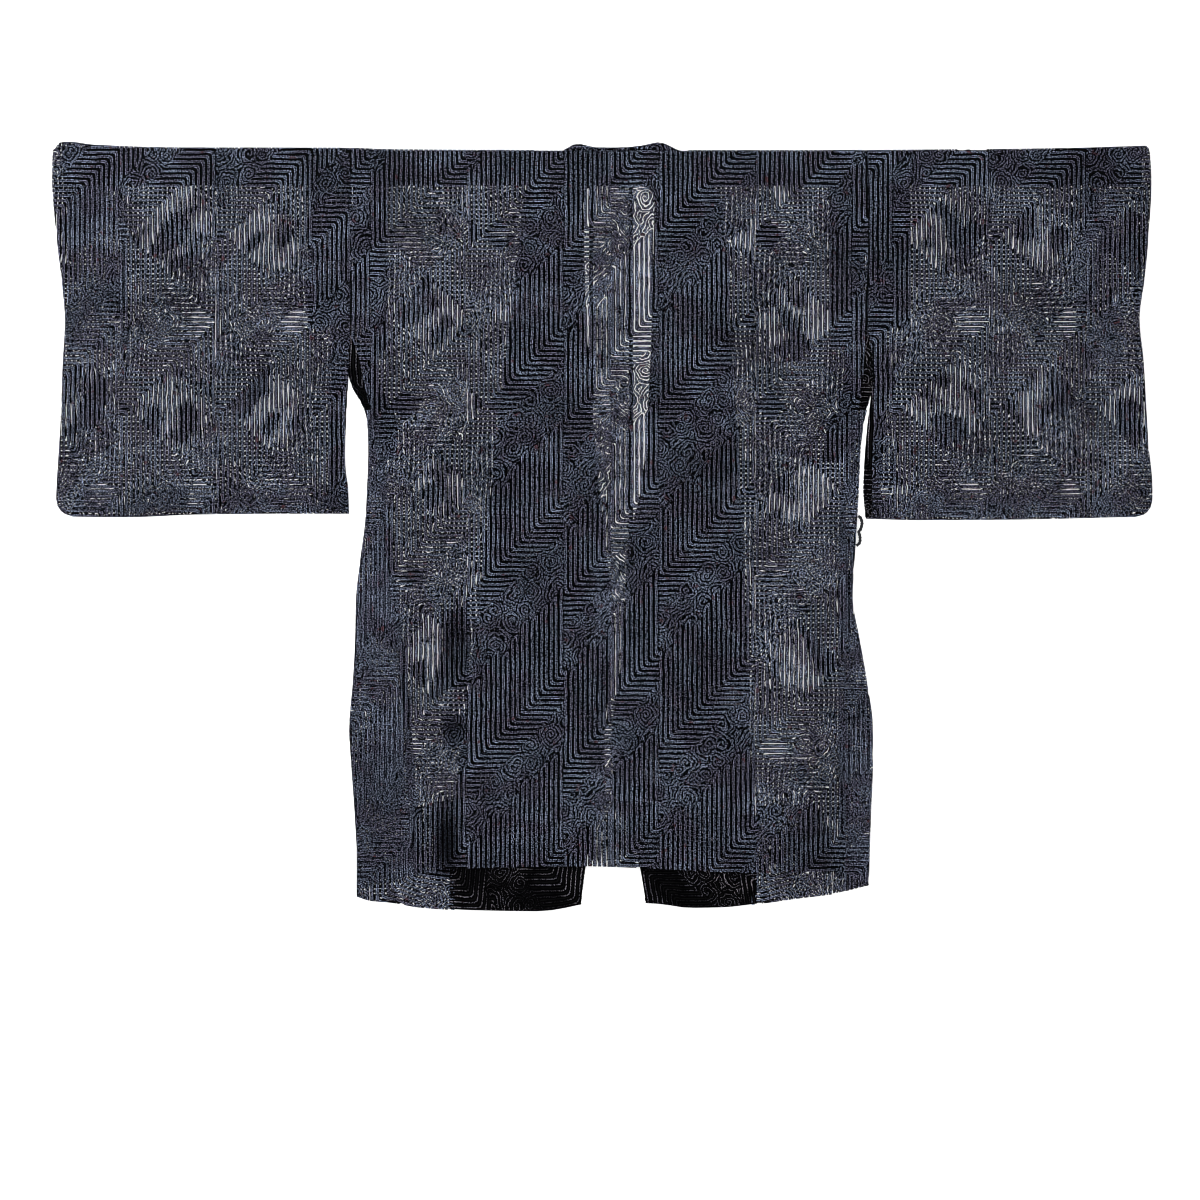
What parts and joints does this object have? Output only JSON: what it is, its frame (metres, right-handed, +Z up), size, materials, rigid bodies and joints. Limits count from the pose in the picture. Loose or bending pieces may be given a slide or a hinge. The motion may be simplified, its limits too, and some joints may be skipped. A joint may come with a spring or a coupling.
{
  "type": "kimono coat",
  "caption": "Sheer haori-style kimono coat laid flat on its front, wide square sleeves, folded collar band, side gussets and turned-up hems.",
  "frame": {"origin": "under the middle of the outline, on the surface the coat lies on", "axes": "+X from the left cuff to the right cuff, +Y from the hem towards the neck, +Z up from the surface; the back of the coat faces +Z"},
  "size_m": [1.2969, 0.9058, 0.0102],
  "materials": {
    "patterned_cloth": "sheer corded cloth, blue-grey cords on a black ground, open slits between the cords",
    "stay_cloth": "plain black cloth, matt",
    "loop_cord": "black twisted cord"
  },
  "bodies": {
    "root": {"body_left": "patterned_cloth", "sleeve_left": "patterned_cloth", "gusset_left": "patterned_cloth", "body_right": "patterned_cloth", "sleeve_right": "patterned_cloth", "gusset_right": "patterned_cloth", "collar": "patterned_cloth", "shoulder_stay": "stay_cloth", "side_loop": "loop_cord"}
  },
  "joints": []
}
